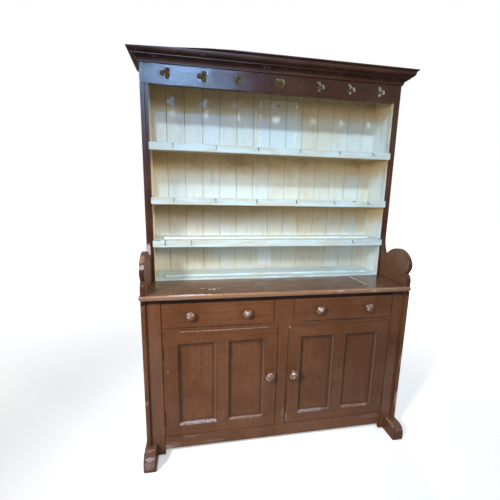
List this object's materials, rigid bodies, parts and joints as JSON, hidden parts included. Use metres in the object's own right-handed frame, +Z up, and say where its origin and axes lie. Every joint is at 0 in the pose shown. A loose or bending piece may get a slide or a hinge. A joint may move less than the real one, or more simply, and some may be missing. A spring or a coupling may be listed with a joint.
{
  "type": "welsh dresser",
  "caption": "Painted pine dresser: open plate rack with pierced frieze and cornice, over a base with drawers above panelled doors, on sledge feet.",
  "frame": {"origin": "on the floor, in the middle of the bounding box", "axes": "+Z up, +Y into the wall so that the front faces -Y, +X to the viewer's right"},
  "size_m": [1.4914, 0.5436, 2.0199],
  "materials": {
    "brown_paint": "worn gloss paint, red-brown, over pine",
    "worktop_paint": "gloss paint, red-brown, over pine",
    "rack_paint": "gloss paint, red-brown outside and cream inside",
    "cream_paint": "old cream paint over pine",
    "shelf_edge_paint": "white gloss paint over pine",
    "knob_paint": "gloss paint, red-brown, over turned wood",
    "bare_wood": "bare aged pine",
    "hinge_iron": "painted over iron"
  },
  "bodies": {
    "carcass": {"side_left": "brown_paint", "side_right": "brown_paint", "foot_left": "brown_paint", "foot_right": "brown_paint", "stile_left": "brown_paint", "stile_right": "brown_paint", "top_rail": "brown_paint", "drawer_rail": "brown_paint", "drawer_divider": "brown_paint", "centre_stile": "brown_paint", "bottom_rail": "brown_paint", "cupboard_floor": "bare_wood", "cupboard_shelf": "bare_wood", "base_back": "bare_wood", "runner_left": "bare_wood", "runner_centre": "bare_wood", "runner_right": "bare_wood", "worktop": "worktop_paint", "door_left_hinge_upper_frame_leaf": "hinge_iron", "door_left_hinge_lower_frame_leaf": "hinge_iron", "door_right_hinge_upper_frame_leaf": "hinge_iron", "door_right_hinge_lower_frame_leaf": "hinge_iron", "rack_side_left": "rack_paint", "rack_side_right": "rack_paint", "inner_strip_left": "rack_paint", "inner_strip_right": "rack_paint", "frieze": "rack_paint", "cornice_front": "rack_paint", "cornice_left": "rack_paint", "cornice_right": "rack_paint", "rack_top": "bare_wood", "shelf_upper": "cream_paint", "shelf_middle": "cream_paint", "shelf_lower": "cream_paint", "shelf_edge_upper": "shelf_edge_paint", "shelf_edge_middle": "shelf_edge_paint", "shelf_edge_lower": "shelf_edge_paint", "rack_base_board": "cream_paint", "rack_back": "cream_paint"},
    "drawer_left": {"drawer_left_front": "brown_paint", "drawer_left_box": "bare_wood", "drawer_left_knob_left": "knob_paint", "drawer_left_knob_right": "knob_paint"},
    "drawer_right": {"drawer_right_front": "brown_paint", "drawer_right_box": "bare_wood", "drawer_right_knob_left": "knob_paint", "drawer_right_knob_right": "knob_paint"},
    "door_left": {"door_left_frame": "brown_paint", "door_left_panel_left": "brown_paint", "door_left_panel_right": "brown_paint", "door_left_knob": "knob_paint", "door_left_hinge_upper_door_leaf": "hinge_iron", "door_left_hinge_lower_door_leaf": "hinge_iron"},
    "door_right": {"door_right_frame": "brown_paint", "door_right_panel_left": "brown_paint", "door_right_panel_right": "brown_paint", "door_right_knob": "knob_paint", "door_right_hinge_upper_door_leaf": "hinge_iron", "door_right_hinge_lower_door_leaf": "hinge_iron"}
  },
  "joints": [
    {"name": "drawer_left_slide", "type": "slide", "parent": "carcass", "child": "drawer_left", "axis": [0, -1, 0], "range_m": [0, 0.3]},
    {"name": "drawer_right_slide", "type": "slide", "parent": "carcass", "child": "drawer_right", "axis": [0, -1, 0], "range_m": [0, 0.3]},
    {"name": "door_left_swing", "type": "hinge", "parent": "carcass", "child": "door_left", "pos_m": [-0.603, -0.189, 0.4], "axis": [0, 0, -1], "range_deg": [0, 110]},
    {"name": "door_right_swing", "type": "hinge", "parent": "carcass", "child": "door_right", "pos_m": [0.603, -0.189, 0.4], "axis": [0, 0, 1], "range_deg": [0, 110]}
  ]
}
